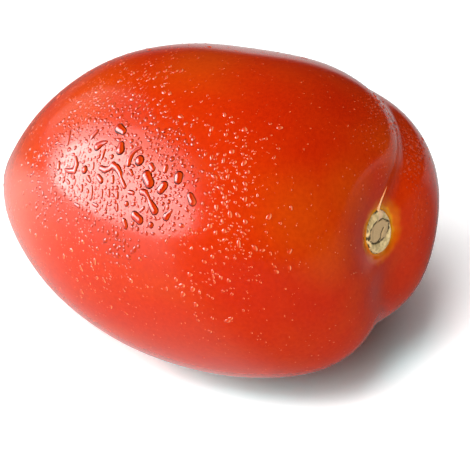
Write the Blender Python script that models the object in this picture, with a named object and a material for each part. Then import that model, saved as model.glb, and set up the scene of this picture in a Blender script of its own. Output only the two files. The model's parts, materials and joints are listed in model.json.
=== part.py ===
"""A plum tomato lying on its side, picked, with the corky scar of its stem and no calyx.

The fruit is first shaped along +X, from the blossom tip at -X to the stem end at +X. It is then tilted
until its stem end is raised, and the lowest part of its skin is flattened into the spot that it rests on.
"""

import math

import bmesh
import bpy
from mathutils import Matrix

# Driving dimensions in metres, and angles in degrees from straight up towards +Y
LENGTH = 0.0836
WIDTH = 0.0540
TAPER = (0.117, -0.036, 0.406)
DIMPLE_DEPTH = 0.0043
DIMPLE_RADIUS = 0.0092
TIP_BLUNTING = 0.0002
TIP_RADIUS = 0.0090

UPPER_GROOVE = {"angle": 42.9, "depth": 0.00146, "half_width": 0.0032, "mouth": (0.0025, 0.0080)}
LOWER_GROOVE = {"angle": 173.4, "depth": 0.00290, "half_width": 0.0073, "mouth": (0.0035, 0.0105)}
GROOVE_SPAN = (0.05, 0.75)

FAR_LOBE = {"angle": 91.3, "rise": 0.00093, "focus": 2.0}
NEAR_LOBE = {"angle": -117.1, "rise": 0.00090, "focus": 1.0}
LOBE_SPAN = (-0.20, 0.70)
LOBE_ROOT = (0.002, 0.014)

# Low unevenness of the skin: place along the axis, angle and rise, negative for a hollow
SWELL_RADIUS = 0.0090
SWELLS = (
    (0.037, 80.0, 0.00050),
    (0.038, 115.0, -0.00035),
    (0.009, 25.0, -0.00040),
    (-0.015, 5.0, 0.00025),
    (-0.036, -40.0, -0.00030),
    (-0.033, -95.0, 0.00040),
    (-0.012, -135.0, -0.00035),
    (0.012, -150.0, 0.00030),
)

SCAR_RADIUS = 0.0035
SCAR_RISE = 0.00025
MOAT_DEPTH = 0.00030
MOAT_WIDTH = 0.00045
BUTTON_RADIUS = 0.0020
BUTTON_GROOVE = 0.00018
BUTTON_GROOVE_WIDTH = 0.00035
WEDGE_ANGLE = 20.0
WEDGE_REACH = 0.14
WEDGE_HALF_ANGLE = 0.45

TILT = 11.4
FLAT_DEPTH = 0.0008

# Mesh density
SIDES = 84
BODY_RINGS = 40
SCAR_RINGS = (0.30, 0.48, 0.60, 0.75, 0.90, 1.02, 1.16, 1.36, 1.70)

SKIN_RED = (0.66, 0.035, 0.012, 1.0)
SCAR_TAN = (0.42, 0.29, 0.13, 1.0)


def clear_scene():
    for obj in list(bpy.data.objects):
        bpy.data.objects.remove(obj, do_unlink=True)


def make_material(name, color, roughness):
    material = bpy.data.materials.new(name)
    material.use_nodes = True
    shader = material.node_tree.nodes["Principled BSDF"]
    shader.inputs["Base Color"].default_value = color
    shader.inputs["Roughness"].default_value = roughness
    shader.inputs["Metallic"].default_value = 0.0
    return material


def smooth_step(low, high, value):
    """0 below low, 1 above high, and an even S curve between them."""
    share = min(max((value - low) / (high - low), 0.0), 1.0)
    return share * share * (3 - 2 * share)


def bell(value, width):
    return math.exp(-((value / width) ** 2))


def girth(turn):
    """Distance of the skin from the axis, where turn runs from 0 at the tip to pi at the stem end."""
    along = -math.cos(turn)
    first, second, third = TAPER
    factor = 1 + first * along + second * along**2 + third * along**3
    return WIDTH / 2 * math.sin(turn) * factor


def outline(turn):
    """Place along the axis and distance from it, with the dimple pressed in and the tip blunted."""
    along = -math.cos(turn)
    radius = girth(turn)
    place = LENGTH / 2 * along
    if along > 0:
        place -= DIMPLE_DEPTH * bell(radius, DIMPLE_RADIUS)
    else:
        place += TIP_BLUNTING * bell(radius, TIP_RADIUS)
    return place, radius


def ring_turns():
    """Even rings along the body, then closer ones across the stem scar."""
    girth_per_radian = WIDTH / 2 * (1 + sum(TAPER))
    scar_turns = [math.pi - share * SCAR_RADIUS / girth_per_radian for share in SCAR_RINGS]
    last = min(scar_turns)
    body_turns = [last * index / BODY_RINGS for index in range(1, BODY_RINGS)]
    return body_turns + sorted(scar_turns)


def scar_edge(angle):
    """Radius of the scar: round, with a wedge drawn out beside the upper groove."""
    away = math.remainder(angle - math.radians(WEDGE_ANGLE), math.tau)
    return SCAR_RADIUS * (1 + WEDGE_REACH * bell(away, WEDGE_HALF_ANGLE))


def scar_relief(radius, angle):
    """How far the corky scar stands out of the dimple along the axis, with a moat round it."""
    edge = scar_edge(angle)
    pad = SCAR_RISE * (1 - smooth_step(0.88 * edge, 1.04 * edge, radius))
    moat = MOAT_DEPTH * bell(radius - 1.08 * edge, MOAT_WIDTH)
    ring = BUTTON_GROOVE * bell(radius - BUTTON_RADIUS, BUTTON_GROOVE_WIDTH)
    return pad - moat - ring


def groove_relief(groove, along, radius, angle):
    """A straight valley that leaves the stem end in one direction and dies out along the side."""
    away = angle - math.radians(groove["angle"])
    length = smooth_step(*GROOVE_SPAN, along)
    mouth = smooth_step(*groove["mouth"], radius * math.cos(away))
    return -groove["depth"] * length * mouth * bell(radius * math.sin(away), groove["half_width"])


def lobe_relief(lobe, along, radius, angle):
    """A broad swelling on one side of the shoulder."""
    away = angle - math.radians(lobe["angle"])
    facing = (0.5 + 0.5 * math.cos(away)) ** lobe["focus"]
    return lobe["rise"] * smooth_step(*LOBE_SPAN, along) * smooth_step(*LOBE_ROOT, radius) * facing


def swell_relief(swell, place, radius, angle):
    """A low, soft swell or hollow of the skin."""
    swell_place, swell_angle, rise = swell
    away = math.remainder(angle - math.radians(swell_angle), math.tau)
    return rise * bell(math.hypot(place - swell_place, radius * away), SWELL_RADIUS)


def skin_relief(point):
    """How far the skin stands off the plain turned body at this point."""
    along = point.x / (LENGTH / 2)
    radius = math.hypot(point.y, point.z)
    angle = math.atan2(point.y, point.z)
    relief = sum(groove_relief(groove, along, radius, angle) for groove in (UPPER_GROOVE, LOWER_GROOVE))
    relief += sum(lobe_relief(lobe, along, radius, angle) for lobe in (FAR_LOBE, NEAR_LOBE))
    return relief + sum(swell_relief(swell, point.x, radius, angle) for swell in SWELLS)


def turned_body():
    """Closed mesh of the turned outline, one ring of points after the other from the tip to the stem end."""
    mesh = bmesh.new()
    tip = mesh.verts.new((outline(0.0)[0], 0, 0))
    rings = []
    for turn in ring_turns():
        place, radius = outline(turn)
        angles = [math.tau * side / SIDES for side in range(SIDES)]
        rings.append(
            [mesh.verts.new((place, radius * math.sin(angle), radius * math.cos(angle))) for angle in angles]
        )
    end = mesh.verts.new((outline(math.pi)[0], 0, 0))
    for side in range(SIDES):
        after = (side + 1) % SIDES
        mesh.faces.new((tip, rings[0][side], rings[0][after]))
        for near, far in zip(rings, rings[1:]):
            mesh.faces.new((near[side], far[side], far[after], near[after]))
        mesh.faces.new((end, rings[-1][after], rings[-1][side]))
    bmesh.ops.recalc_face_normals(mesh, faces=mesh.faces)
    return mesh


def raise_relief(mesh):
    """Grooves and lobes move the skin along its normals, and the scar moves along the axis."""
    mesh.normal_update()
    moves = [vert.normal * skin_relief(vert.co) for vert in mesh.verts]
    for vert, move in zip(mesh.verts, moves):
        if vert.co.x > 0:
            radius = math.hypot(vert.co.y, vert.co.z)
            vert.co.x += scar_relief(radius, math.atan2(vert.co.y, vert.co.z))
        vert.co += move


def mark_scar(mesh):
    """The faces of the corky scar take the second material."""
    for face in mesh.faces:
        centre = face.calc_center_median()
        radius = math.hypot(centre.y, centre.z)
        if centre.x > 0 and radius < scar_edge(math.atan2(centre.y, centre.z)):
            face.material_index = 1


def lay_down(mesh):
    """Tilts the fruit, flattens the spot it rests on, and centres it over the origin."""
    bmesh.ops.rotate(mesh, verts=mesh.verts, matrix=Matrix.Rotation(-math.radians(TILT), 3, "Y"))
    floor = min(vert.co.z for vert in mesh.verts) + FLAT_DEPTH
    for vert in mesh.verts:
        vert.co.z = max(vert.co.z - floor, 0.0)
    for axis in (0, 1):
        middle = (min(vert.co[axis] for vert in mesh.verts) + max(vert.co[axis] for vert in mesh.verts)) / 2
        for vert in mesh.verts:
            vert.co[axis] -= middle


def make_tomato():
    shape = turned_body()
    raise_relief(shape)
    mark_scar(shape)
    lay_down(shape)
    mesh = bpy.data.meshes.new("tomato")
    shape.to_mesh(mesh)
    shape.free()
    mesh.materials.append(make_material("tomato skin", SKIN_RED, 0.25))
    mesh.materials.append(make_material("stem scar", SCAR_TAN, 0.80))
    mesh.shade_smooth()
    tomato = bpy.data.objects.new("tomato", mesh)
    bpy.context.collection.objects.link(tomato)
    return tomato


clear_scene()
make_tomato()
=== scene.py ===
import json
import math
import random

import bpy
from mathutils import Matrix, Vector, noise
from mathutils.bvhtree import BVHTree

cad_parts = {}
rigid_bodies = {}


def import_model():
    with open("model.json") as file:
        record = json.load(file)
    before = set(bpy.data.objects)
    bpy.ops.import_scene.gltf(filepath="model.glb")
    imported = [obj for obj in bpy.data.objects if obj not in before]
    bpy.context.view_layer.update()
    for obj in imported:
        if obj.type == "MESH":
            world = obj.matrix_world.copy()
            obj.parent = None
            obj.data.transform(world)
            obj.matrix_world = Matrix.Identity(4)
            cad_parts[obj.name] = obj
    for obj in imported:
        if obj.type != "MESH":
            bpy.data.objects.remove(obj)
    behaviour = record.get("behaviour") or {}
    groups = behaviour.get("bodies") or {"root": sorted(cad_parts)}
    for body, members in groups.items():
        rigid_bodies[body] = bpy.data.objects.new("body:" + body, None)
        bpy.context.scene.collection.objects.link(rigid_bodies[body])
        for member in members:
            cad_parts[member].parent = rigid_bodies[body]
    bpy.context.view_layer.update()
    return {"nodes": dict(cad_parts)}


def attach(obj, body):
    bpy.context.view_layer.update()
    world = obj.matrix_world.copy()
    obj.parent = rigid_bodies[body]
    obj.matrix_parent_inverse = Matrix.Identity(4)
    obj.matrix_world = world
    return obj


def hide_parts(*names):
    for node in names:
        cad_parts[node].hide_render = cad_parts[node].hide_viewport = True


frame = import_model()
print("frame loaded")

mm = 0.001

# Where the fruit's own axis lies: it leans up towards the stem end, +X
fruit = {
    "centre": Vector((0.249, -0.029, 26.098)) * mm,
    "tilt": 11.4,        # degrees
    "halfLength": 41.8,  # mm, used only to tell how the skin faces
    "halfWidth": 27.0,
}
tiltTurn = math.radians(fruit["tilt"])
toRow = Matrix.Translation(fruit["centre"]) @ Matrix.Rotation(-tiltTurn, 4, "Y")
toFruit = toRow.inverted()
fruitAxis = (toRow.to_3x3() @ Vector((1, 0, 0))).normalized()

# The photograph's frame is 470 by 470 pixels
photo = {
    "size": 470,
    "centrePixel": (195.25, 202.4),  # where the fruit's centre is seen
    "pixelsPerMm": 5.93,
    "azimuth": 37.42,
    "elevation": 30.0,
    "distance": 0.5,
    "sensor": 36.0,
}
focalPixels = photo["pixelsPerMm"] / mm * photo["distance"]


def addCamera():
    azimuth = math.radians(photo["azimuth"])
    elevation = math.radians(photo["elevation"])
    flat = math.cos(elevation)
    back = Vector((math.sin(azimuth) * flat, -math.cos(azimuth) * flat, math.sin(elevation)))
    bpy.ops.object.camera_add(
        location=fruit["centre"] + back * photo["distance"],
        rotation=(math.pi / 2 - elevation, 0, azimuth),
    )
    camera = bpy.context.object
    camera.name = "photoCamera"
    across = photo["size"] / 2 - photo["centrePixel"][0]
    down = photo["size"] / 2 - photo["centrePixel"][1]
    camera.rotation_euler.rotate_axis("Y", -math.atan(across / focalPixels))
    camera.rotation_euler.rotate_axis("X", -math.atan(down / focalPixels))
    camera.data.sensor_width = photo["sensor"]
    camera.data.lens = focalPixels / photo["size"] * photo["sensor"]
    camera.data.clip_start = 0.01
    bpy.context.scene.camera = camera
    bpy.context.view_layer.update()
    return camera


camera = addCamera()
print("camera placed")


def deselectAll():
    bpy.ops.object.select_all(action="DESELECT")


def makeActive(piece):
    deselectAll()
    piece.select_set(True)
    bpy.context.view_layer.objects.active = piece


def applyModifiers(piece):
    makeActive(piece)
    for modifier in list(piece.modifiers):
        bpy.ops.object.modifier_apply(modifier=modifier.name)


def applyPlace(piece):
    makeActive(piece)
    bpy.ops.object.transform_apply(location=True, rotation=True, scale=True)


def newMaterial(name):
    material = bpy.data.materials.new(name)
    material.use_nodes = True
    material.node_tree.nodes.clear()
    return material


# A material whose one shader reaches the surface
def newFinish(name, **sockets):
    material = newMaterial(name)
    shader = addNode(material, "ShaderNodeBsdfPrincipled", inputs=sockets)
    out = addNode(material, "ShaderNodeOutputMaterial")
    link(material, shader.outputs["BSDF"], out.inputs["Surface"])
    return material, shader


def addNode(material, kind, inputs=None, **settings):
    node = material.node_tree.nodes.new(kind)
    for key, value in settings.items():
        setattr(node, key, value)
    for key, value in (inputs or {}).items():
        node.inputs[key].default_value = value
    return node


def link(material, source, target):
    material.node_tree.links.new(source, target)


def addRamp(material, source, stops):
    ramp = addNode(material, "ShaderNodeValToRGB")
    bar = ramp.color_ramp.elements
    while len(bar) < len(stops):
        bar.new(0.5)
    for element, (place, color) in zip(bar, stops):
        element.position = place
        element.color = color
    link(material, source, ramp.inputs["Fac"])
    return ramp.outputs["Color"]


def mixColors(material, factor, under, over, blend="MIX"):
    mix = addNode(material, "ShaderNodeMix", data_type="RGBA", blend_type=blend)
    for socket, value in (("Factor", factor), ("A", under), ("B", over)):
        if isinstance(value, (tuple, float)):
            mix.inputs[socket].default_value = value
        else:
            link(material, value, mix.inputs[socket])
    return mix.outputs["Result"]


def numberMath(material, operation, first, second):
    node = addNode(material, "ShaderNodeMath", operation=operation)
    for index, value in enumerate((first, second)):
        if isinstance(value, (int, float)):
            node.inputs[index].default_value = value
        else:
            link(material, value, node.inputs[index])
    return node.outputs["Value"]


def multiplied(material, first, second):
    return numberMath(material, "MULTIPLY", first, second)


def added(material, first, second):
    return numberMath(material, "ADD", first, second)


# A length, distance or dot product gives a number, and every other operation a vector
def vectorMath(material, operation, first, second=None):
    node = addNode(material, "ShaderNodeVectorMath", operation=operation)
    for index, value in enumerate((first, second)):
        if isinstance(value, (tuple, Vector)):
            node.inputs[index].default_value = value
        elif value is not None:
            link(material, value, node.inputs[index])
    return node.outputs["Value" if operation in ("LENGTH", "DISTANCE", "DOT_PRODUCT") else "Vector"]


def splitAxes(material, source):
    parts = addNode(material, "ShaderNodeSeparateXYZ")
    link(material, source, parts.inputs["Vector"])
    return parts.outputs["X"], parts.outputs["Y"], parts.outputs["Z"]


def spread(material, source, low, high):
    node = addNode(material, "ShaderNodeMapRange", inputs={"From Min": low, "From Max": high},
                   interpolation_type="SMOOTHSTEP")
    link(material, source, node.inputs["Value"])
    return node.outputs["Result"]


# Object coordinates in millimetres, turned and centred as given
def turnedPlace(material, source, rotation, centre=(0, 0, 0)):
    turn = addNode(material, "ShaderNodeMapping", vector_type="TEXTURE", inputs={
        "Location": centre,
        "Rotation": rotation,
        "Scale": (mm, mm, mm),
    })
    link(material, source, turn.inputs["Vector"])
    return turn.outputs["Vector"]


def fruitPlace(material):
    place = addNode(material, "ShaderNodeTexCoord")
    return turnedPlace(material, place.outputs["Object"], (0, -tiltTurn, 0), fruit["centre"])


def addNoise(material, place, look):
    mapping = addNode(material, "ShaderNodeMapping", inputs={"Scale": look.get("stretch", (1, 1, 1))})
    texture = addNode(material, "ShaderNodeTexNoise", inputs={"Scale": look["scale"], "Detail": look["detail"]})
    link(material, place, mapping.inputs["Vector"])
    link(material, mapping.outputs["Vector"], texture.inputs["Vector"])
    return texture.outputs["Fac"]


# Soft patches, 0 between them and 1 on them
def addPatches(material, place, look):
    return spread(material, addNoise(material, place, look), look["from"], look["to"])


# Fine unevenness that only the light shows; its depth is in mm
def addBump(material, shader, place, look):
    bump = addNode(material, "ShaderNodeBump", inputs={
        "Strength": look["strength"],
        "Distance": look["depth"] * mm,
    })
    link(material, addNoise(material, place, look), bump.inputs["Height"])
    link(material, bump.outputs["Normal"], shader.inputs["Normal"])


# Skin

skinLook = {
    "merge": 0.01 * mm,      # corners of the CAD mesh nearer than this are one
    "levels": 2,
    "wobble": 0.16 * mm,
    "wobbleSize": 16 * mm,
    "red": (0.372, 0.0165, 0.0005, 1),
    "deepRed": (0.355, 0.0115, 0.0004, 1),
    "orangeRed": (0.385, 0.034, 0.0010, 1),
    # where the skin is more orange or deeper red: pixel, and reach in mm
    "orangePlaces": [((10, 185), 24), ((85, 95), 15), ((300, 218), 11), ((350, 195), 9), ((392, 150), 7),
                     ((330, 250), 9), ((200, 62), 12)],
    "deepPlaces": [((275, 115), 13), ((250, 290), 15), ((305, 300), 10), ((335, 105), 8), ((310, 145), 9)],
    "orangeShare": 0.85,
    "deepShare": 0.9,
    "streaks": {"scale": 0.16, "detail": 2, "stretch": (0.35, 1, 1), "from": 0.35, "to": 0.75, "share": 0.35},
    "speckles": {"scale": 1.6, "detail": 3,
                 "dark": (0.30, (0.90, 0.86, 0.86, 1)), "light": (0.72, (1.04, 1.12, 1.10, 1))},
    "haloYellow": (0.56, 0.20, 0.004, 1),
    "haloOrange": (0.47, 0.085, 0.0015, 1),
    "yellowReach": (5.1, 4.3),      # mm from the middle of the halo
    "orangeReach": (6.7, 4.8),
    "haloCentre": (0, 0.15, 0.3),   # mm, across the fruit's axis
    "haloTurn": 18.0,               # degrees from straight up, towards +Y
    "haloSquash": 0.94,             # along its long way
    "haloRag": {"scale": 0.8, "detail": 3, "mm": 1.8},
    "ends": 20.0,                   # mm from the fruit's middle, where its two ends start
    "tipBrown": (0.10, 0.035, 0.012, 1),
    "tipReach": (1.5, 0.8),
    "gloss": {"scale": 0.9, "detail": 3, "from": 0.3, "to": 0.7, "roughness": (0.13, 0.18), "ior": 1.30},
    "grain": {"scale": 3.2, "detail": 2, "strength": 0.25, "depth": 0.03},
}


def haloMasks(material, place):
    turn = math.radians(skinLook["haloTurn"])
    shift = addNode(material, "ShaderNodeMapping", vector_type="TEXTURE", inputs={
        "Location": skinLook["haloCentre"],
        "Rotation": (-turn, 0, 0),
        "Scale": (1000, 1, 1 / skinLook["haloSquash"]),  # how far along the axis hardly counts
    })
    link(material, place, shift.inputs["Vector"])
    away = vectorMath(material, "LENGTH", shift.outputs["Vector"])
    rag = skinLook["haloRag"]
    ragged = multiplied(material, addNoise(material, place, rag), rag["mm"])
    distance = added(material, away, ragged)
    along = splitAxes(material, place)[0]
    stemSide = numberMath(material, "GREATER_THAN", along, skinLook["ends"])
    tipSide = numberMath(material, "LESS_THAN", along, -skinLook["ends"])
    yellow = multiplied(material, spread(material, distance, *skinLook["yellowReach"]), stemSide)
    orange = multiplied(material, spread(material, distance, *skinLook["orangeReach"]), stemSide)
    tip = multiplied(material, spread(material, away, *skinLook["tipReach"]), tipSide)
    return yellow, orange, tip


# 1 in the middle of each place, fading to 0 at its reach
def placesMask(material, place, places):
    mask = None
    for pixel, reach in places:
        gap = vectorMath(material, "DISTANCE", place, toFruit @ skinAt(*pixel)[0] / mm)
        near = spread(material, gap, reach, 0.1 * reach)
        mask = near if mask is None else numberMath(material, "MAXIMUM", mask, near)
    return mask


def placesShare(material, place, name):
    mask = placesMask(material, place, skinLook[name + "Places"])
    return multiplied(material, mask, skinLook[name + "Share"])


def skinMaterial():
    gloss = skinLook["gloss"]
    material, shader = newFinish("ripeSkin", IOR=gloss["ior"])
    place = fruitPlace(material)
    streaks = skinLook["streaks"]
    streaky = multiplied(material, addPatches(material, place, streaks), streaks["share"])
    color = mixColors(material, streaky, skinLook["red"], skinLook["orangeRed"])
    color = mixColors(material, placesShare(material, place, "deep"), color, skinLook["deepRed"])
    color = mixColors(material, placesShare(material, place, "orange"), color, skinLook["orangeRed"])
    yellow, orange, tip = haloMasks(material, place)
    color = mixColors(material, orange, color, skinLook["haloOrange"])
    color = mixColors(material, yellow, color, skinLook["haloYellow"])
    color = mixColors(material, tip, color, skinLook["tipBrown"])
    speckles = skinLook["speckles"]
    shade = addRamp(material, addNoise(material, place, speckles), [speckles["dark"], speckles["light"]])
    color = mixColors(material, 1.0, color, shade, blend="MULTIPLY")
    link(material, color, shader.inputs["Base Color"])
    low, high = gloss["roughness"]
    rough = addNode(material, "ShaderNodeMapRange", inputs={
        "From Min": gloss["from"], "From Max": gloss["to"], "To Min": low, "To Max": high,
    })
    link(material, addNoise(material, place, gloss), rough.inputs["Value"])
    link(material, rough.outputs["Result"], shader.inputs["Roughness"])
    addBump(material, shader, place, skinLook["grain"])
    return material


def makeSkin():
    cadMesh = frame["nodes"]["tomato"].data
    skin = bpy.data.objects.new("tomatoSkin", cadMesh.copy())
    bpy.context.scene.collection.objects.link(skin)
    skin.data.materials.clear()
    makeActive(skin)
    bpy.ops.object.mode_set(mode="EDIT")
    bpy.ops.mesh.select_all(action="SELECT")
    bpy.ops.mesh.remove_doubles(threshold=skinLook["merge"])
    bpy.ops.mesh.tris_convert_to_quads()
    bpy.ops.object.mode_set(mode="OBJECT")
    smoother = skin.modifiers.new("smoother", "SUBSURF")
    smoother.levels = skinLook["levels"]
    smoother.render_levels = skinLook["levels"]
    swell = bpy.data.textures.new("softSwell", "CLOUDS")
    swell.noise_scale = skinLook["wobbleSize"]
    swell.noise_depth = 1
    wobble = skin.modifiers.new("wobble", "DISPLACE")
    wobble.texture = swell
    wobble.texture_coords = "LOCAL"
    wobble.strength = skinLook["wobble"]
    applyModifiers(skin)
    for vertex in skin.data.vertices:
        vertex.co.z = max(vertex.co.z, 0.0)  # it stays flat where it rests
    bpy.ops.object.shade_smooth()
    return skin


skin = makeSkin()
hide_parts("tomato")
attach(skin, "root")
skinTree = BVHTree.FromObject(skin, bpy.context.evaluated_depsgraph_get())


# The point and normal of the skin that the camera sees at a pixel of the photograph
def skinAt(x, y):
    middle = photo["size"] / 2
    ray = Vector(((x - middle) / focalPixels, (middle - y) / focalPixels, -1))
    ray = camera.matrix_world.to_3x3() @ ray
    return skinTree.ray_cast(camera.matrix_world.translation, ray.normalized())[:2]


skin.data.materials.append(skinMaterial())
print("skin done:", len(skin.data.polygons), "faces")

# Stem scar: a corky disc in the dimple, with a smooth button ringed by a crack

scarLook = {
    "radius": 3.60,           # mm, as are the other lengths
    "centre": (-0.28, 0.12),  # across the axis: towards +Y, and up
    "narrow": 0.87,           # its width against its height
    "sides": 96,
    "rings": 26,
    "smoothUnder": 60,        # degrees
    "startsAt": 60.0,         # along the axis, from where its points are dropped onto the skin
    "proud": 0.34,            # above the skin
    "sink": 0.9,              # how deep its wall goes into the skin
    "edgeWave": {"size": 0.06, "scale": 1.7},
    "edgeDrop": 0.30,
    "edgeWidth": 0.20,
    "edgeCrack": (0.65, 1.4),  # how cracked the edge is, and what the grain adds
    "button": {"centre": (-0.05, 0.20), "radii": (3.15, 1.85), "proud": 0.05,
               "crackWidth": 0.17, "crackDepth": 0.20},
    # how uneven the button's outline is, in two sizes: scale, mm
    "rag": (1.1, 0.22),
    "fineRag": (3.1, 0.09),
    # how the crack round the button comes and goes
    "breaks": {"scale": 2.3, "least": 0.45, "most": 1.1, "above": 0.35},
    "hook": {"path": [(1.5, 0.35), (0.55, -0.35), (0.15, -1.0), (-0.9, -1.45)], "width": 0.18,
             "share": 0.9, "rag": 0.06},
    "wedge": {"angle": 17.0, "halfAngle": 15.0, "point": 0.07, "rag": 6},
    "paintedHighlightSide": (-2.6, -3.6),  # across, from where the painted highlight on the side towards the soft box starts to where it is strongest
    # how strong that painted highlight gets at most
    "paintedHighlightMost": 0.8,
    "grain": {"scale": 1.9, "height": 0.07, "onButton": 0.35},
    "flecks": {"scale": 1.5, "detail": 4, "from": 0.38, "to": 0.64},
    "pores": {"scale": 5.0, "detail": 4, "strength": 0.5, "depth": 0.08},
    "roughness": 0.62,
    "ior": 1.4,
    "cork": (0.36, 0.27, 0.12, 1),
    "corkPale": (0.58, 0.44, 0.22, 1),
    "buttonTan": (0.40, 0.27, 0.13, 1),
    "wedgePink": (0.55, 0.36, 0.20, 1),
    # painted highlight, on the scar's side towards the soft box
    "paintedHighlightTan": (0.75, 0.52, 0.24, 1),
    "crack": (0.050, 0.032, 0.012, 1),
}


def bell(value, width):
    return math.exp(-((value / width) ** 2))


def gapToLine(point, start, end):
    run = end - start
    share = max(0.0, min(1.0, (point - start).dot(run) / run.dot(run)))
    return (point - start - run * share).length


def noiseAt(across, scale, layer):
    return noise.noise(Vector((across.x * scale, across.y * scale, layer)))


# How deep the cracks are, and how much of a place is button or wedge; across is in mm
def scarFeatures(across):
    button, hook, wedge, breaks = (scarLook[name] for name in ("button", "hook", "wedge", "breaks"))
    (ragScale, ragSize), (fineScale, fineSize) = scarLook["rag"], scarLook["fineRag"]
    rag = noiseAt(across, ragScale, 3.0)
    fine = noiseAt(across, fineScale, 8.0)
    middle = Vector(button["centre"])
    wide, high = button["radii"]
    away = high * math.hypot((across.x - middle.x) / wide, (across.y - middle.y) / high)
    away += ragSize * rag + fineSize * fine
    ring = bell(away - high, button["crackWidth"] * (1 + 0.5 * rag))
    whole = max(0.0, noiseAt(across, breaks["scale"], 21.0) + breaks["above"])
    ring *= breaks["least"] + breaks["most"] * whole
    points = [Vector(point) for point in hook["path"]]
    curl = min(gapToLine(across, start, end) for start, end in zip(points, points[1:]))
    crack = min(1.0, ring + hook["share"] * bell(curl + hook["rag"] * fine, hook["width"]))
    onButton = away < high
    turn = math.degrees(math.atan2(across.x, across.y)) - wedge["angle"]
    onWedge = abs(turn + wedge["rag"] * rag) < wedge["halfAngle"] and not onButton
    return crack, float(onButton), float(onWedge)


def scarMaterial():
    material, shader = newFinish("corkyScar", Roughness=scarLook["roughness"], IOR=scarLook["ior"])
    place = fruitPlace(material)
    flecks = addPatches(material, place, scarLook["flecks"])
    color = mixColors(material, flecks, scarLook["cork"], scarLook["corkPale"])
    # button, wedge and crack are the scar's own colours; the fourth is a painted highlight on the side towards
    # the soft box
    for name, tone, low, high in (("button", "buttonTan", 0.25, 0.75), ("wedge", "wedgePink", 0.25, 0.75),
                                  ("paintedHighlight", "paintedHighlightTan", 0.25, 0.75), ("crack", "crack", 0.30, 0.85)):
        region = addNode(material, "ShaderNodeAttribute", attribute_name=name)
        color = mixColors(material, spread(material, region.outputs["Fac"], low, high), color, scarLook[tone])
    link(material, color, shader.inputs["Base Color"])
    addBump(material, shader, place, scarLook["pores"])
    return material


# The scar's outline is uneven, and drawn out to a point in the middle of the wedge
def scarWave(turn):
    edgeWave, wedge = scarLook["edgeWave"], scarLook["wedge"]
    onCircle = Vector((math.cos(turn), math.sin(turn)))
    wave = 1 + edgeWave["size"] * noiseAt(onCircle, edgeWave["scale"], 5.0)
    return wave + wedge["point"] * bell(math.degrees(turn) - wedge["angle"], wedge["halfAngle"])


# Puts a point of the flat disc onto the skin, and returns what it shows there
def raiseScarPoint(vertex):
    button, grainLook = scarLook["button"], scarLook["grain"]
    flat = Vector((vertex.co.x, vertex.co.y)) / mm
    across = flat * scarWave(math.atan2(flat.x, flat.y))
    crack, onButton, onWedge = scarFeatures(across)
    grain = noise.fractal(Vector((*across * grainLook["scale"], 1.0)), 1.0, 2.0, 3)
    edge = bell(flat.length - scarLook["radius"], scarLook["edgeWidth"])
    lift = scarLook["proud"] - button["crackDepth"] * crack - scarLook["edgeDrop"] * edge
    lift += grainLook["height"] * grain * (grainLook["onButton"] if onButton else 1.0)
    lift += button["proud"] * onButton
    toSide, up = scarLook["centre"]
    start = Vector((scarLook["startsAt"], across.x * scarLook["narrow"] + toSide, across.y + up)) * mm
    vertex.co = skinTree.ray_cast(toRow @ start, -fruitAxis)[0] + fruitAxis * lift * mm
    dark, grainDark = scarLook["edgeCrack"]
    # painted highlight: paler towards the scar's side that faces the soft box
    low, high = scarLook["paintedHighlightSide"]
    return {
        "crack": max(crack, edge * (dark + grainDark * grain)),
        "button": onButton,
        "wedge": onWedge,
        "paintedHighlight": max(0.0, min(scarLook["paintedHighlightMost"], (across.x - low) / (high - low))),
    }


def makeScar():
    rim = scarLook["radius"] * mm
    bpy.ops.mesh.primitive_circle_add(vertices=scarLook["sides"], radius=rim, fill_type="NGON")
    scar = bpy.context.object
    scar.name = "stemScar"
    bpy.ops.object.mode_set(mode="EDIT")
    for ring in range(scarLook["rings"]):
        bpy.ops.mesh.inset(thickness=rim / (scarLook["rings"] + 1.5), depth=0)
    bpy.ops.mesh.poke()
    bpy.ops.object.mode_set(mode="OBJECT")
    mesh = scar.data
    shown = [raiseScarPoint(vertex) for vertex in mesh.vertices]
    for name in ("crack", "button", "wedge", "paintedHighlight"):
        layer = mesh.attributes.new(name, "FLOAT", "POINT")
        layer.data.foreach_set("value", [point[name] for point in shown])
    makeActive(scar)
    bpy.ops.object.mode_set(mode="EDIT")
    bpy.ops.mesh.select_all(action="SELECT")
    bpy.ops.mesh.region_to_loop()
    bpy.ops.mesh.extrude_region_move(TRANSFORM_OT_translate={"value": -fruitAxis * scarLook["sink"] * mm})
    bpy.ops.mesh.edge_face_add()
    bpy.ops.mesh.select_all(action="SELECT")
    bpy.ops.mesh.normals_make_consistent(inside=False)
    bpy.ops.object.mode_set(mode="OBJECT")
    bpy.ops.object.shade_smooth_by_angle(angle=math.radians(scarLook["smoothUnder"]))
    mesh.materials.append(scarMaterial())
    return scar


scar = makeScar()
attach(scar, "root")
print("scar done:", len(scar.data.polygons), "faces")

# Pale line: a thin ridge of scar tissue that runs from the scar up the groove

lineLook = {
    "pixels": [(377.9, 211), (378.7, 207), (380.2, 202.5), (381.9, 198), (383.6, 194), (385.2, 190.5),
               (386.8, 186.5)],
    "radius": 0.29 * mm,
    "shares": [1.0, 1.0, 0.95, 0.85, 0.70, 0.5, 0.15],  # of the radius, at each pixel
    "sunk": 0.35,            # of the radius, into the skin
    "stepsRound": 3,
    "stepsAlong": 8,
    "fades": (4.4, 6.6),     # mm above the fruit's axis, from cream to orange
    "flecks": {"scale": 4.0, "detail": 2, "from": 0.55, "to": 0.9},
    "roughness": 0.35,
    "ior": 1.42,
    "cream": (0.80, 0.46, 0.22, 1),
    "orange": (0.78, 0.27, 0.09, 1),
}


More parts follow.
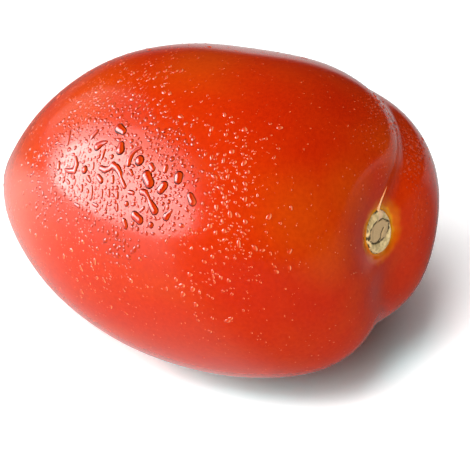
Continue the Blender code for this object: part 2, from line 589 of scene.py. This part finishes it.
def lineMaterial():
    material, shader = newFinish("paleRidge", Roughness=lineLook["roughness"], IOR=lineLook["ior"])
    place = fruitPlace(material)
    upper = spread(material, splitAxes(material, place)[2], *lineLook["fades"])
    color = mixColors(material, upper, lineLook["cream"], lineLook["orange"])
    color = mixColors(material, addPatches(material, place, lineLook["flecks"]), color, lineLook["orange"])
    link(material, color, shader.inputs["Base Color"])
    return material


def makeLine():
    path = bpy.data.curves.new("paleLine", "CURVE")
    path.dimensions = "3D"
    path.bevel_depth = lineLook["radius"]
    path.bevel_resolution = lineLook["stepsRound"]
    path.use_fill_caps = True
    path.resolution_u = lineLook["stepsAlong"]
    spline = path.splines.new("NURBS")
    spline.points.add(len(lineLook["pixels"]) - 1)
    for point, pixel, share in zip(spline.points, lineLook["pixels"], lineLook["shares"]):
        spot, normal = skinAt(*pixel)
        spot = spot - normal * lineLook["radius"] * share * lineLook["sunk"]
        point.co = (*spot, 1)
        point.radius = share
    spline.use_endpoint_u = True
    spline.order_u = 4
    ridge = bpy.data.objects.new("paleLine", path)
    bpy.context.scene.collection.objects.link(ridge)
    makeActive(ridge)
    bpy.ops.object.convert(target="MESH")
    ridge = bpy.context.object
    bpy.ops.object.shade_smooth()
    ridge.data.materials.clear()
    ridge.data.materials.append(lineMaterial())
    return ridge


ridge = makeLine()
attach(ridge, "root")
print("pale line done:", len(ridge.data.polygons), "faces")

# Water

waterLook = {
    "contact": 50.0,        # degrees between the skin and a drop's edge
    # painted drop colours, inside the soft box's reflection and elsewhere: the skin seen through a drop, a
    # painted glow on its side away from the soft box, and painted shade on its steep rim; inside the reflection
    # they are darker, elsewhere lighter as painted glints. Where the first are used: pixel, and reach in mm
    "middle": ((0.300, 0.0100, 0.0006, 1), (0.41, 0.028, 0.004, 1)),
    # painted glow, on the side of a drop away from the soft box
    "lit": ((0.46, 0.042, 0.003, 1), (0.70, 0.22, 0.09, 1)),
    # painted shade, on a drop's steep rim
    "rim": ((0.030, 0.0015, 0.001, 1), (0.34, 0.035, 0.012, 1)),
    "softBoxReflectionZone": [((50, 170), 15), ((105, 165), 17), ((150, 180), 15), ((120, 215), 12)],
    "softBoxReflectionZoneEdge": 2.0,        # the larger, the sharper the edge of the soft box's reflection zone
    "lightFrom": 182,       # the soft box's bearing in degrees, counted as for the lamps; the painted glow goes on a drop's side away from it
    "lightDown": 0.2,
    # how far a drop leans away from the soft box, from none of the painted glow to all of it
    "paintedGlowFrom": (-0.05, 0.55),
    "paintedRimShadeFrom": (0.90, 0.77),  # how far a drop's surface still faces along the skin's normal, from none of the painted rim shade to all of it
    "roughness": 0.09,
    "ior": 1.38,
    "ballSides": 24,
    "ballRings": 16,
    "voxel": 0.095 * mm,
    "softness": 0.5,
    "softSteps": 3,
    "swell": 1.10,          # makes up for what melting and softening take off
    "bedDepth": 0.12 * mm,
    # small drops: their height against a large one's of the same width, and what shapes them
    "flatter": 0.80,
    "cutBelow": 0.15,
    "pear": 0.32,
    "bean": 0.30,
    "apart": 1.15,
    "smoothUnder": 70,      # degrees
    "inFace": 0.05,         # keeps a drop off its face's corners
    "facesAtOnce": 4000,
    "clumps": {"scale": 160, "least": 0.55, "most": 0.9, "above": 0.5},
    "dryBelow": 9.0 * mm,   # no small drops lower than this, and fewer up to fadeOver more
    "fadeOver": 10 * mm,
    "dryRoundScar": 7.5 * mm,
    "scarAlong": 38.0 * mm,  # where the scar is on the fruit's axis
}

# Each drop is a chain of x, y and half width, in pixels of the photograph
bigDrops = [
    [(146.5, 176, 5.6), (149.5, 183, 5.4)],
    [(139.5, 160.5, 5.2)],
    [(121, 145, 3.8), (120.3, 150, 5.0)],
    [(140.5, 148, 1.6), (136, 150, 2.0), (132, 154, 2.6), (129, 160, 3.2), (128.5, 164, 3.0)],
    [(106.5, 142, 1.8), (102, 143.5, 3.0), (97.5, 146.5, 4.4)],
    [(75.5, 158, 2.4), (76.5, 165, 3.2), (74.5, 171, 3.2), (69, 171, 2.8), (65.5, 169.5, 1.8)],
    [(84.5, 169.7, 4.1)],
    [(58.7, 163.5, 2.8), (58.3, 168, 2.8)],
    [(101, 168, 2.8), (105, 170, 3.4), (109.5, 168.5, 2.6), (113, 165, 3.4), (117, 168, 3.6),
     (120, 173, 3.0), (121, 178, 1.9), (123, 183, 2.4), (124.5, 186.5, 2.6)],
    [(98, 176.5, 2.8), (101, 180.5, 3.2)],
    [(88, 177.5, 2.6), (90, 181, 2.0)],
    [(112.6, 177.5, 2.2), (112.6, 182, 2.2)],
    [(130.5, 171.5, 2.6), (132, 174.5, 2.0)],
    [(111.8, 156.7, 2.5)],
    [(105, 150, 1.6), (103, 154, 2.4), (102, 158, 2.0)],
    [(151, 165.5, 3.0), (153, 169, 2.8)],
    [(166, 167, 2.5), (165, 171, 2.4)],
    [(178.8, 176, 4.6), (178, 180, 4.2)],
    [(164, 185.5, 4.4), (160.5, 190, 4.2)],
    [(142, 192, 3.2), (145.5, 193, 3.2), (148, 197, 2.2), (149.5, 201, 2.4),
     (152, 206, 4.0), (154.5, 210.5, 4.4)],
    [(134.5, 215.5, 4.4), (139.5, 220, 4.4)],
    [(124, 221.5, 3.2), (125.3, 226, 3.2)],
    [(132.5, 223.6, 2.2)],
    [(126.4, 203.8, 2.9)],
    [(129.5, 192, 2.4), (133, 193, 2.2)],
    [(116.7, 188, 2.5)],
    [(117, 193.5, 2.2), (117, 197, 2.4)],
    [(108.6, 191, 2.0), (108.8, 195.3, 2.1)],
    [(102, 191, 1.8), (101.5, 197, 1.8)],
    [(81.8, 186.5, 2.2), (81.6, 190.5, 2.1)],
    [(91.5, 187, 1.8), (91.8, 193, 2.0), (90.5, 199, 1.8)],
    [(73.5, 191, 1.5), (74.5, 196, 1.6)],
    [(117, 205, 1.8), (117, 210, 1.9)],
    [(140.5, 211, 1.7), (143.5, 208, 1.9)],
    [(150.8, 225, 3.1)],
    [(171.5, 210.5, 1.6), (169.5, 213, 2.2), (166, 217, 3.8)],
    [(168.6, 201.8, 2.3)],
    [(162.9, 203.8, 2.0)],
    [(137.6, 229, 2.1)],
    [(159.4, 228.2, 1.9)],
    [(70, 132, 1.6), (69, 138, 2.0), (67.5, 144, 2.0)],
    [(97, 131.5, 2.4), (92.5, 136, 2.8), (90.5, 139, 1.6)],
    [(119, 128, 4.8), (123.5, 131.5, 3.6)],
    [(131.5, 141, 2.4)],
    [(78, 128.5, 2.2)],
    [(50.4, 146.5, 1.6), (50, 151, 1.7)],
    [(75.3, 147.8, 2.2)],
    [(62, 155.5, 2.3)],
    [(67, 180.5, 2.0), (69, 183, 1.8)],
    [(72, 187, 2.2)],
    [(62, 187.5, 2.0)],
    [(64.4, 194.3, 2.1)],
    [(54.4, 175.7, 2.2)],
    [(59.8, 178.8, 2.0)],
    [(51.5, 188, 1.7), (51, 193, 1.7)],
    [(73.6, 177.4, 2.2)],
    [(93.3, 164, 1.8), (93, 168.5, 1.8)],
    [(86.8, 203.8, 2.3)],
    [(93.5, 204, 1.9), (97, 205.8, 1.9)],
    [(75, 204, 1.8), (79, 206.5, 2.0)],
    [(43.2, 202.7, 2.1)],
    [(105.5, 212, 2.1)],
    [(110.3, 218.2, 2.2)],
    [(172, 159, 2.6)],
    [(190, 196, 3.4), (192.5, 202, 4.0)],
]

# Random drops: how many, their half widths in mm, and how wet each place is: pixel, reach in mm, share
sprays = {
    "waterMedium": {
        "seed": 11, "count": 820, "radius": (0.24, 0.46), "stretch": 0.55, "elsewhere": 0.0,
        "wetPlaces": [((62, 172), 6.5, 1.0), ((105, 180), 7.5, 1.0), ((150, 185), 6.5, 1.0),
                      ((85, 145), 6.5, 0.9), ((135, 145), 6.5, 0.9), ((110, 215), 5.0, 0.6),
                      ((170, 205), 5.0, 0.7), ((215, 165), 7.0, 0.20), ((215, 230), 7.0, 0.20),
                      ((200, 285), 6.0, 0.08), ((120, 95), 9.0, 0.10), ((90, 240), 8.0, 0.06),
                      ((390, 118), 3.0, 0.3), ((414, 150), 3.0, 0.3)],
        "segments": 12, "rings": 10,
    },
    "waterFine": {
        "seed": 23, "count": 1800, "radius": (0.12, 0.21), "stretch": 0.35, "elsewhere": 0.03,
        "wetPlaces": [((62, 172), 7.5, 1.0), ((105, 180), 8.5, 1.0), ((150, 185), 7.5, 1.0),
                      ((85, 135), 8.0, 0.8), ((222, 175), 9.0, 0.22), ((215, 250), 10.0, 0.22),
                      ((100, 245), 10.0, 0.18), ((95, 95), 10.0, 0.30), ((345, 170), 5.0, 0.10),
                      ((408, 225), 3.5, 0.4), ((376, 104), 3.0, 1.0), ((390, 118), 3.0, 1.0),
                      ((403, 133), 3.0, 1.0), ((415, 150), 3.0, 1.0), ((424, 168), 3.0, 0.8),
                      ((385, 145), 4.0, 0.5)],
        "segments": 8, "rings": 6,
    },
    "waterMist": {
        "seed": 37, "count": 2600, "radius": (0.05, 0.10), "stretch": 0.15, "elsewhere": 0.03,
        "wetPlaces": [((62, 172), 8.0, 1.0), ((105, 180), 9.0, 1.0), ((150, 185), 8.0, 1.0),
                      ((85, 130), 9.0, 0.8), ((215, 180), 14.0, 0.06), ((100, 245), 12.0, 0.12),
                      ((90, 95), 10.0, 0.45), ((408, 225), 4.0, 0.5), ((384, 112), 4.0, 1.0),
                      ((420, 150), 4.5, 1.0)],
        "segments": 6, "rings": 6,
    },
}


def waterMaterial():
    material, shader = newFinish("waterDrop", Roughness=waterLook["roughness"], IOR=waterLook["ior"])
    place = fruitPlace(material)
    # the way that the skin under a drop faces, from its place on the fruit
    squash = (fruit["halfWidth"] / fruit["halfLength"]) ** 2
    skinWay = vectorMath(material, "NORMALIZE", vectorMath(material, "MULTIPLY", place, (squash, 1, 1)))
    coords = addNode(material, "ShaderNodeTexCoord")
    turn = addNode(material, "ShaderNodeMapping", vector_type="VECTOR", inputs={"Rotation": (0, tiltTurn, 0)})
    link(material, coords.outputs["Normal"], turn.inputs["Vector"])
    dropWay = turn.outputs["Vector"]
    # painted light: the side of a drop away from the soft box is painted lighter, as if light gathered there,
    # and its steep rim is painted darker as painted shade
    bearing = math.radians(waterLook["lightFrom"] + photo["azimuth"])
    fromLight = (-math.cos(bearing), -math.sin(bearing), -waterLook["lightDown"])
    lean = vectorMath(material, "SUBTRACT", dropWay, skinWay)
    paintedGlowShare = spread(material, vectorMath(material, "DOT_PRODUCT", lean, fromLight), *waterLook["paintedGlowFrom"])
    paintedRimShadeShare = spread(material, vectorMath(material, "DOT_PRODUCT", dropWay, skinWay), *waterLook["paintedRimShadeFrom"])
    # each drop is painted as the skin seen through it, with a painted glow and a painted rim shade: once for
    # inside the soft box's reflection, and once elsewhere, where the lighter tones stand in for glints
    paintedTones = []
    for middle, lit, rim in zip(waterLook["middle"], waterLook["lit"], waterLook["rim"]):
        paintedTones.append(mixColors(material, paintedRimShadeShare, mixColors(material, paintedGlowShare, middle, lit), rim))
    paintedTonesInReflection, elsewhere = paintedTones
    # inside the soft box's reflection the drops take the darker painted tones
    softBoxReflectionZone = multiplied(material, placesMask(material, place, waterLook["softBoxReflectionZone"]), waterLook["softBoxReflectionZoneEdge"])
    softBoxReflectionZone = numberMath(material, "MINIMUM", softBoxReflectionZone, 1.0)
    link(material, mixColors(material, softBoxReflectionZone, elsewhere, paintedTonesInReflection), shader.inputs["Base Color"])
    return material


# the drops' one material, with its painted light and shade
waterPaintedShading = waterMaterial()
contactTurn = math.radians(waterLook["contact"])


# More balls between the given ones, so that a chain melts into one even drop
def denseChain(chain):
    balls = [chain[0]]
    for start, end in zip(chain, chain[1:]):
        gap = math.dist(start[:2], end[:2])
        steps = max(1, math.ceil(gap / (0.5 * min(start[2], end[2]))))  # half the smaller half width apart
        for step in range(1, steps + 1):
            share = step / steps
            balls.append(tuple(a + (b - a) * share for a, b in zip(start, end)))
    return balls


# Balls are sunk so that what stands out of the skin meets it at the contact angle
def makeBigDrops():
    balls = []
    for chain in bigDrops:
        for x, y, halfWidth in denseChain(chain):
            point, normal = skinAt(x, y)
            reach = halfWidth / photo["pixelsPerMm"] * mm * waterLook["swell"]
            ball = reach / math.sin(contactTurn)
            bpy.ops.mesh.primitive_uv_sphere_add(
                segments=waterLook["ballSides"], ring_count=waterLook["ballRings"], radius=ball,
                location=point - normal * ball * math.cos(contactTurn))
            balls.append(bpy.context.object)
    deselectAll()
    for ball in balls:
        ball.select_set(True)
    bpy.context.view_layer.objects.active = balls[0]
    bpy.ops.object.join()
    drops = bpy.context.object
    drops.name = "waterLarge"
    applyPlace(drops)
    melt = drops.modifiers.new("melt", "REMESH")
    melt.mode = "VOXEL"
    melt.voxel_size = waterLook["voxel"]
    soften = drops.modifiers.new("soften", "SMOOTH")
    soften.factor = waterLook["softness"]
    soften.iterations = waterLook["softSteps"]
    applyModifiers(drops)
    bed = waterLook["bedDepth"]
    for vertex in drops.data.vertices:
        point, normal = skinTree.find_nearest(vertex.co)[:2]
        height = (vertex.co - point).dot(normal)
        if height < -bed:
            vertex.co = point - normal * bed
    bpy.ops.object.shade_smooth()
    drops.data.materials.append(waterPaintedShading)
    return drops


# One dome of half width 1, modelled once for each size of drop, in a few shapes
def modelDome(segments, rings, shape):
    ball = 1 / math.sin(contactTurn)
    bpy.ops.mesh.primitive_uv_sphere_add(
        segments=segments, ring_count=rings, radius=ball, location=(0, 0, -ball * math.cos(contactTurn)))
    dome = bpy.context.object
    applyPlace(dome)
    bpy.ops.object.mode_set(mode="EDIT")
    bpy.ops.mesh.select_all(action="SELECT")
    bpy.ops.mesh.bisect(
        plane_co=(0, 0, -waterLook["cutBelow"]), plane_no=(0, 0, 1), use_fill=True, clear_inner=True)
    bpy.ops.object.mode_set(mode="OBJECT")
    for vertex in dome.data.vertices:
        if shape == "pear":
            vertex.co.y *= 1 - waterLook["pear"] * vertex.co.x
        if shape == "bean":
            vertex.co.y += waterLook["bean"] * vertex.co.x ** 2
    corners = [vertex.co.copy() for vertex in dome.data.vertices]
    faces = [list(face.vertices) for face in dome.data.polygons]
    bpy.data.objects.remove(dome)
    return corners, faces


# Places that are taken, in cells of one millimetre
class Spots:
    def __init__(self):
        self.cells = {}

    def key(self, point):
        return tuple(int(value // mm) for value in point)

    def free(self, point, radius):
        middle = self.key(point)
        for dx in (-1, 0, 1):
            for dy in (-1, 0, 1):
                for dz in (-1, 0, 1):
                    cell = (middle[0] + dx, middle[1] + dy, middle[2] + dz)
                    for other, size in self.cells.get(cell, ()):
                        if (other - point).length < size + radius:
                            return False
        return True

    def take(self, point, radius):
        self.cells.setdefault(self.key(point), []).append((point, radius))


taken = Spots()
for chain in bigDrops:
    for x, y, halfWidth in chain:
        taken.take(skinAt(x, y)[0], halfWidth / photo["pixelsPerMm"] * mm)
scarMiddle = toRow @ Vector((waterLook["scarAlong"], 0, 0))
faceAreas = [face.area for face in skin.data.polygons]
skinCorners = [vertex.co.copy() for vertex in skin.data.vertices]


def randomPoint(draw, face):
    shares = [draw.random() + waterLook["inFace"] for corner in face.vertices]
    total = sum(shares)
    parts = [skinCorners[corner] * (share / total) for corner, share in zip(face.vertices, shares)]
    return sum(parts, Vector())


# How likely it is that a drop lies at this point
def wetness(point, look, wetPlaces):
    wet = max(share * bell((point - spot).length / mm, reach) for spot, reach, share in wetPlaces)
    chance = max(look["elsewhere"], wet)
    chance *= max(0.0, min(1.0, (point.z - waterLook["dryBelow"]) / waterLook["fadeOver"]))
    clumps = waterLook["clumps"]
    clump = max(0.0, noise.noise(point * clumps["scale"]) + clumps["above"])
    return chance * (clumps["least"] + clumps["most"] * clump)


# Turns, stretches and places a dome of half width 1 on the skin
def dropPlace(draw, look, point, normal, radius):
    stretch = 1 + look["stretch"] * draw.random()
    turn = draw.random() * math.tau
    size = (radius * stretch, radius / stretch ** 0.5, radius * waterLook["flatter"], 1)
    place = Matrix.Translation(point) @ normal.to_track_quat("Z", "X").to_matrix().to_4x4()
    return place @ Matrix.Rotation(turn, 4, "Z") @ Matrix.Diagonal(size)


# Where drops come to lie, one after the other, until there are enough
def sprayPlaces(draw, look):
    wetPlaces = [(skinAt(*pixel)[0], reach, share) for pixel, reach, share in look["wetPlaces"]]
    small, large = look["radius"]
    made = 0
    while made < look["count"]:
        for face in draw.choices(skin.data.polygons, weights=faceAreas, k=waterLook["facesAtOnce"]):
            point = randomPoint(draw, face)
            nearScar = (point - scarMiddle).length < waterLook["dryRoundScar"]
            if draw.random() > wetness(point, look, wetPlaces) or nearScar:
                continue
            radius = (small + (large - small) * draw.random() ** 2.0) * mm  # most are small
            if not taken.free(point, radius * waterLook["apart"]):
                continue
            taken.take(point, radius)
            yield dropPlace(draw, look, point, face.normal, radius)
            made += 1
            if made >= look["count"]:
                break


def makeSpray(name):
    look = sprays[name]
    draw = random.Random(look["seed"])
    domes = [modelDome(look["segments"], look["rings"], shape) for shape in ("round", "pear", "bean")]
    allCorners = []
    allFaces = []
    for place in sprayPlaces(draw, look):
        corners, faces = draw.choice(domes)
        first = len(allCorners)
        allCorners.extend(place @ corner for corner in corners)
        allFaces.extend([index + first for index in face] for face in faces)
    mesh = bpy.data.meshes.new(name)
    mesh.from_pydata(allCorners, [], allFaces)
    mesh.validate()
    spray = bpy.data.objects.new(name, mesh)
    bpy.context.scene.collection.objects.link(spray)
    makeActive(spray)
    bpy.ops.object.shade_smooth_by_angle(angle=math.radians(waterLook["smoothUnder"]))
    mesh.materials.append(waterPaintedShading)
    return spray


def placeWater(drops):
    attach(drops, "root")
    print(drops.name, "done:", len(drops.data.polygons), "faces")


placeWater(makeBigDrops())
for sprayName in sprays:
    placeWater(makeSpray(sprayName))


# Floor and light

studio = {
    "floorSize": 6.0,
    "floorFar": (1.25, 1.25, 1.25, 1),      # bright enough to go white in the picture
    "floorNear": (0.725, 1.465, 1.515, 1),  # evens out the red light that the fruit throws down
    "nearCentre": (10.4, 10.6, 0.0),        # mm, in the row's own directions
    "nearReach": (16.5, 32.5),              # mm from there
    "floorBounce": (0.97, 0.97, 0.97, 1),
    # the light that lies on the floor in front of the soft box, as the fruit's gloss shows it; all in mm
    "pool": {"bearing": 178, "rest": 0.18, "start": 0.52, "perMm": 0.0170, "from": 30.0, "to": 150.0,
             "behind": (-25.0, 0.0), "right": (48.0, 28.0, -0.5), "left": (-75.0, -12.0, 0.35)},
    "poolOnSkin": 0.6,                      # how much of the pool lights the skin
    "floorOnSkin": 0.26,                    # and what the whole floor adds
    "farGlow": {"mm": (-15.0, -80.0), "right": (70.0, 0.0), "strength": 0.6},
    # evens out the outer part of the shadow; mm to the camera's right and away from it
    "lift": {"centre": (3.0, 5.0), "depth": 1.15, "reach": (26.0, 50.0), "strength": 0.32,
             "behind": (32.0, 8.0), "left": (0.0, -14.0), "leftStrength": 0.24},
    "air": 0.02,
}

# Bearing and elevation in degrees, distance and size in metres, power in watts
# A lamp either shows in the gloss or lights the rest
lamps = {
    "softBox": {"bearing": 182, "elevation": 12.5, "distance": 0.80, "size": (0.86, 0.60), "power": 20.2,
                "gloss": True},
    "softRim": {"bearing": 173, "elevation": 17, "distance": 0.85, "size": (0.92, 0.75), "power": 10.8,
                "gloss": True, "turn": 35},
    "softHaze": {"bearing": 152, "elevation": 12, "distance": 0.90, "size": (1.04, 0.95), "power": 2.0,
                 "gloss": True},
    "side": {"bearing": 179, "elevation": 12, "distance": 0.80, "size": (0.5, 0.5), "power": 9.8,
             "gloss": False},
    "overhead": {"bearing": 250, "elevation": 55, "distance": 0.80, "size": (0.35, 0.35), "power": 6.6,
                 "gloss": False},
    "front": {"bearing": 250, "elevation": 30, "distance": 0.80, "size": (0.4, 0.4), "power": 2.2,
              "gloss": False},
    "behind": {"bearing": 125, "elevation": 45, "distance": 0.80, "size": (1.0, 0.6), "power": 2.5,
               "gloss": False, "onlyFruit": True},
    "stemEnd": {"bearing": 335, "elevation": 5, "distance": 0.80, "size": (0.6, 0.4), "power": 1.9,
                "gloss": False, "onlyFruit": True},
}


# How bright the floor is to the fruit: a pool of light that widens towards the soft box
def poolLight(material, place):
    pool = studio["pool"]
    bearing = math.radians(pool["bearing"] + photo["azimuth"])
    along, across, up = splitAxes(material, turnedPlace(material, place, (0, 0, bearing)))
    inside = spread(material, along, *pool["behind"])
    for low, high, slant in (pool["right"], pool["left"]):
        edge = added(material, across, multiplied(material, along, slant))
        inside = multiplied(material, inside, spread(material, edge, low, high))
    glow = addNode(material, "ShaderNodeMapRange", inputs={
        "From Min": pool["from"], "From Max": pool["to"],
        "To Min": pool["start"], "To Max": pool["start"] + pool["perMm"] * (pool["to"] - pool["from"]),
    })
    link(material, along, glow.inputs["Value"])
    lit = multiplied(material, inside, glow.outputs["Result"])
    farGlow = studio["farGlow"]
    farLit = multiplied(material, spread(material, across, *farGlow["mm"]), farGlow["strength"])
    farLit = multiplied(material, farLit, spread(material, along, *farGlow["right"]))
    return added(material, lit, pool["rest"]), farLit


# What the camera sees added to the outer part of the fruit's shadow
def liftLight(material, place):
    lift = studio["lift"]
    place = turnedPlace(material, place, (0, 0, math.radians(photo["azimuth"])))
    right, away, up = splitAxes(material, place)
    toRight, toBack = lift["centre"]
    squashed = vectorMath(material, "MULTIPLY", place, (1, lift["depth"], 0))
    gap = vectorMath(material, "DISTANCE", squashed, (toRight, toBack * lift["depth"], 0))
    outer = multiplied(material, spread(material, gap, *lift["reach"]), lift["strength"])
    outer = multiplied(material, outer, spread(material, away, *lift["behind"]))
    left = multiplied(material, spread(material, right, *lift["left"]), lift["leftStrength"])
    return added(material, outer, left)


# The floor looks one way to the camera, another in the fruit's gloss, and a third to its matte light
def floorMaterial():
    material = newMaterial("paleFloor")
    matte = addNode(material, "ShaderNodeBsdfDiffuse")
    glow = addNode(material, "ShaderNodeEmission")
    both = addNode(material, "ShaderNodeAddShader")
    out = addNode(material, "ShaderNodeOutputMaterial")
    link(material, matte.outputs["BSDF"], both.inputs[0])
    link(material, glow.outputs["Emission"], both.inputs[1])
    link(material, both.outputs["Shader"], out.inputs["Surface"])
    rays = addNode(material, "ShaderNodeLightPath").outputs
    place = addNode(material, "ShaderNodeTexCoord").outputs["Object"]
    away = vectorMath(material, "DISTANCE", place, Vector(studio["nearCentre"]) * mm)
    near, far = studio["nearReach"]
    share = spread(material, away, near * mm, far * mm)
    seen = mixColors(material, share, studio["floorNear"], studio["floorFar"])
    color = mixColors(material, rays["Is Camera Ray"], studio["floorBounce"], seen)
    color = mixColors(material, rays["Is Glossy Ray"], color, (0, 0, 0, 1))  # gloss shows the pool alone
    link(material, color, matte.inputs["Color"])
    pool, farGlow = poolLight(material, place)
    onSkin = multiplied(material, rays["Is Diffuse Ray"], studio["poolOnSkin"])
    poolShare = numberMath(material, "MAXIMUM", rays["Is Glossy Ray"], onSkin)
    lift = liftLight(material, place)
    total = multiplied(material, pool, poolShare)
    floorLight = studio["floorOnSkin"]
    for light, ray in ((farGlow, "Is Glossy Ray"), (lift, "Is Camera Ray"), (floorLight, "Is Diffuse Ray")):
        total = added(material, total, multiplied(material, light, rays[ray]))
    link(material, total, glow.inputs["Strength"])
    return material


def addFloor():
    bpy.ops.mesh.primitive_plane_add(size=studio["floorSize"], location=(0, 0, 0))
    floor = bpy.context.object
    floor.name = "floor"
    floor.data.materials.append(floorMaterial())


# Bearings are counted from the camera's right, turning away from it
def addLamp(name):
    look = lamps[name]
    bearing = math.radians(look["bearing"] + photo["azimuth"])
    elevation = math.radians(look["elevation"])
    flat = math.cos(elevation)
    way = Vector((math.cos(bearing) * flat, math.sin(bearing) * flat, math.sin(elevation)))
    bpy.ops.object.light_add(type="AREA", location=fruit["centre"] + way * look["distance"])
    lamp = bpy.context.object
    lamp.name = name
    lamp.rotation_euler = way.to_track_quat("Z", "Y").to_euler()
    lamp.rotation_euler.rotate_axis("Z", math.radians(look.get("turn", 0)))
    lamp.data.shape = "ELLIPSE" if look["gloss"] else "RECTANGLE"
    lamp.data.size, lamp.data.size_y = look["size"]
    lamp.data.energy = look["power"]
    lamp.visible_glossy = look["gloss"]
    lamp.visible_diffuse = not look["gloss"]
    lamp.visible_camera = False
    # left on, it would show every lamp in the gloss all the same
    lamp.data.cycles.use_multiple_importance_sampling = look["gloss"]
    if look.get("onlyFruit"):
        lamp.light_linking.receiver_collection = fruitPieces


# The air is white to the camera and dim to the fruit
def addWorld():
    world = bpy.data.worlds.new("studioAir")
    world.use_nodes = True
    air = world.node_tree.nodes["Background"]
    air.inputs["Color"].default_value = (1, 1, 1, 1)
    rays = addNode(world, "ShaderNodeLightPath").outputs
    link(world, numberMath(world, "MAXIMUM", rays["Is Camera Ray"], studio["air"]), air.inputs["Strength"])
    bpy.context.scene.world = world
    bpy.context.scene.view_settings.view_transform = "Standard"


fruitPieces = bpy.data.collections.new("fruitPieces")
for piece in list(bpy.context.scene.objects):
    if piece.type == "MESH" and piece.data.materials and piece.name not in frame["nodes"]:
        fruitPieces.objects.link(piece)
addFloor()
for lampName in lamps:
    addLamp(lampName)
addWorld()
print("studio lit")
